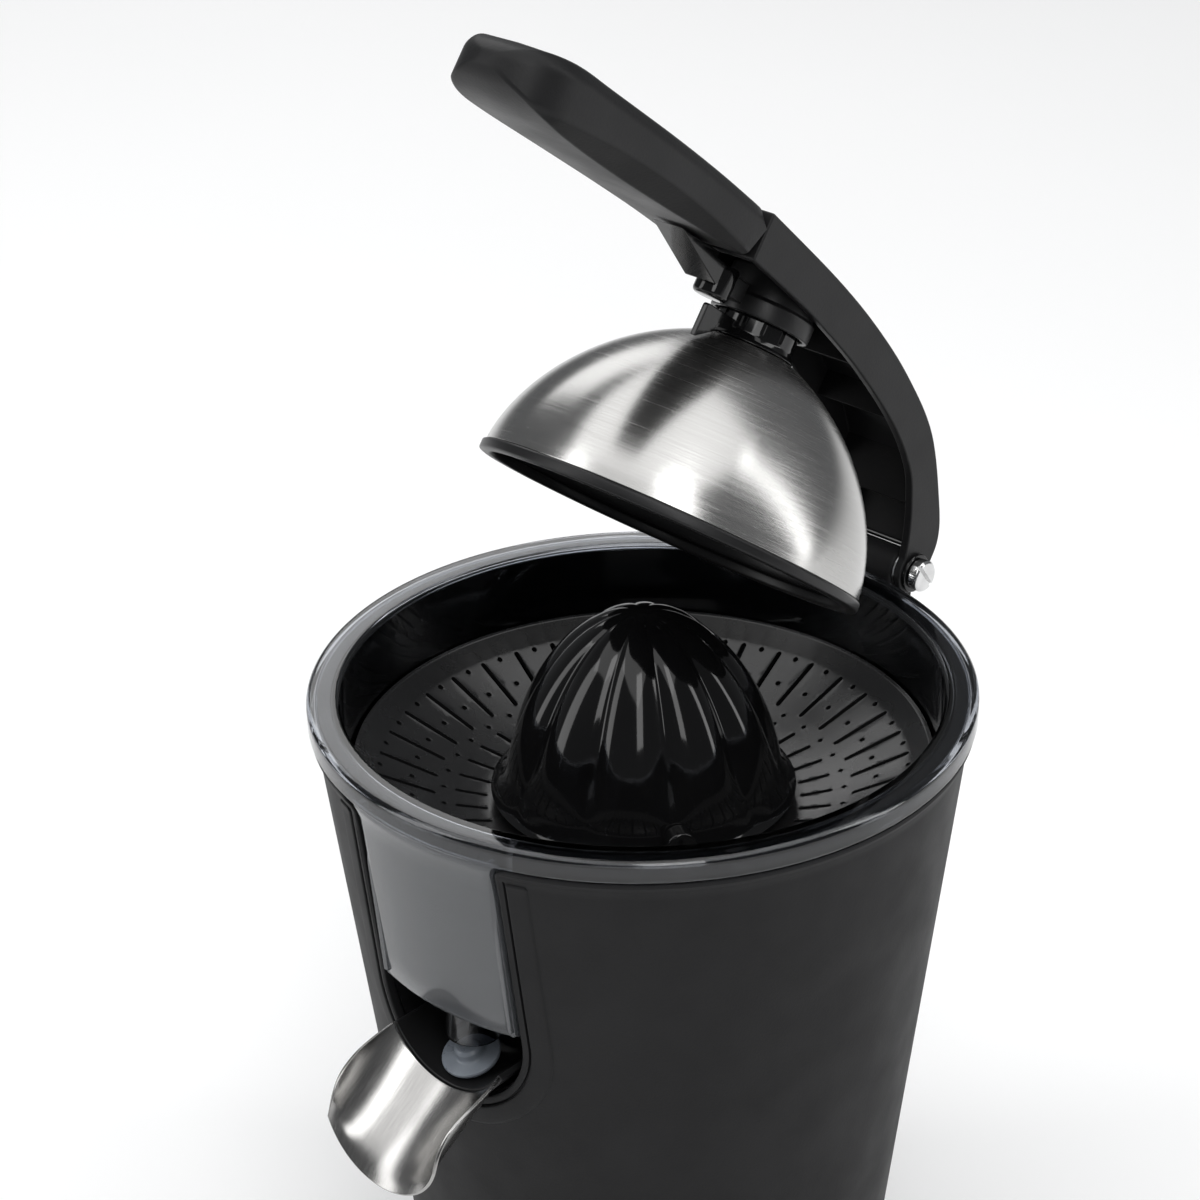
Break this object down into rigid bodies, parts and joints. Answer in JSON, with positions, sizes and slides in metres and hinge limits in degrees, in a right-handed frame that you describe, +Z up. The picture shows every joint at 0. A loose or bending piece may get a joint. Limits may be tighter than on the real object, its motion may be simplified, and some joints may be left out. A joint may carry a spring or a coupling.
{
  "type": "citrus press juicer",
  "caption": "Electric citrus press with a clear juice collector, ribbed reamer, strainer, flip spout and a long press lever with a self-aligning steel dome.",
  "frame": {"origin": "on the table, at the centre of the whole part's width and depth, under the feet", "axes": "+Z up; -Y towards the spout and the end of the lever; +Y towards the lever's hinge; +X to the right when seen from the spout"},
  "size_m": [0.18, 0.215, 0.4],
  "materials": {
    "soft_black": "soft-touch moulded",
    "satin_black": "satin moulded",
    "grip_black": "fine-textured overmould",
    "gloss_black": "polished moulded",
    "smoke_clear": "clear, lightly smoke-tinted",
    "brushed_steel": "brushed",
    "bright_steel": "polished",
    "silicone": "translucent, satin",
    "foot_rubber": "matte",
    "zinc_steel": "zinc-plated",
    "nylon": "natural nylon",
    "bronze": "sintered",
    "inner_plastic": "moulded"
  },
  "bodies": {
    "base": {"housing_shell": "soft_black", "base_plate": "inner_plastic", "cord_inlet": "foot_rubber", "drive_deck": "inner_plastic", "spout_bay": "satin_black", "motor_can": "zinc_steel", "compound_axle": "bright_steel", "lower_bush": "bronze", "upper_bush": "bronze", "shaft_seal": "foot_rubber", "gearbox_base": "inner_plastic", "gearbox_cover": "inner_plastic", "return_spring": "zinc_steel", "microswitch": "gloss_black", "juice_collector": "smoke_clear", "strainer_basket": "satin_black", "spout_pin": "bright_steel", "hinge_pin": "bright_steel", "hinge_nut": "bright_steel", "hinge_washer_right": "satin_black", "hinge_washer_left": "satin_black", "friction_washer_right": "zinc_steel", "friction_washer_left": "zinc_steel", "foot_1": "foot_rubber", "base_screw_1": "zinc_steel", "cover_screw_1": "zinc_steel", "support_post_1": "inner_plastic", "foot_2": "foot_rubber", "base_screw_2": "zinc_steel", "cover_screw_2": "zinc_steel", "support_post_2": "inner_plastic", "foot_3": "foot_rubber", "base_screw_3": "zinc_steel", "cover_screw_3": "zinc_steel", "support_post_3": "inner_plastic", "foot_4": "foot_rubber", "base_screw_4": "zinc_steel", "cover_screw_4": "zinc_steel", "support_post_4": "inner_plastic"},
    "lever": {"lever_arm": "satin_black", "lever_grip": "grip_black", "arm_gusset": "gloss_black", "neck_collar": "satin_black"},
    "dome": {"dome_shell": "brushed_steel", "dome_liner": "satin_black", "dome_neck": "gloss_black", "dome_screw": "zinc_steel"},
    "spout": {"spout_carrier": "satin_black", "spout_trough": "brushed_steel", "spout_stopper": "silicone"},
    "press": {"press_carriage": "nylon"},
    "reamer": {"reamer_cone": "gloss_black", "output_shaft": "bright_steel", "output_gear": "nylon", "snap_ring": "zinc_steel"},
    "compound": {"compound_gear": "nylon"},
    "motor_rotor": {"motor_shaft": "bright_steel", "motor_pinion": "bronze"},
    "plunger": {"switch_plunger": "nylon"}
  },
  "joints": [
    {"name": "lever_hinge", "type": "hinge", "parent": "base", "child": "lever", "pos_m": [0, 0.09538, 0.205], "axis": [-1, 0, 0], "range_deg": [-38.6, 30]},
    {"name": "dome_tilt", "type": "hinge", "parent": "lever", "child": "dome", "pos_m": [0, 0.0535, 0.30241], "axis": [1, 0, 0], "range_deg": [-2.5, 2.5]},
    {"name": "spout_flip", "type": "hinge", "parent": "base", "child": "spout", "pos_m": [0, -0.05622, 0.1226], "axis": [-1, 0, 0], "range_deg": [0, 19]},
    {"name": "reamer_press", "type": "slide", "parent": "base", "child": "press", "axis": [0, 0, -1], "range_m": [0, 0.0025], "stiffness_N_per_m": 3000, "springref_m": -0.0015, "deforming": ["return_spring"]},
    {"name": "reamer_spin", "type": "hinge", "parent": "press", "child": "reamer", "pos_m": [0, -0.00162, 0.174], "axis": [0, 0, 1], "continuous": true},
    {"name": "compound_spin", "type": "hinge", "parent": "base", "child": "compound", "pos_m": [0.01681, 0.01138, 0.089], "axis": [0, 0, 1], "continuous": true},
    {"name": "motor_spin", "type": "hinge", "parent": "base", "child": "motor_rotor", "pos_m": [0, 0.02438, 0.089], "axis": [0, 0, 1], "continuous": true},
    {"name": "switch_travel", "type": "slide", "parent": "base", "child": "plunger", "axis": [0, 0, -1], "range_m": [0, 0.0025]}
  ],
  "couplings": [
    {"joint": "compound_spin", "follows": "reamer_spin", "ratio": -2.5},
    {"joint": "motor_spin", "follows": "reamer_spin", "ratio": 6.25},
    {"joint": "switch_travel", "follows": "reamer_press", "ratio": 1}
  ]
}
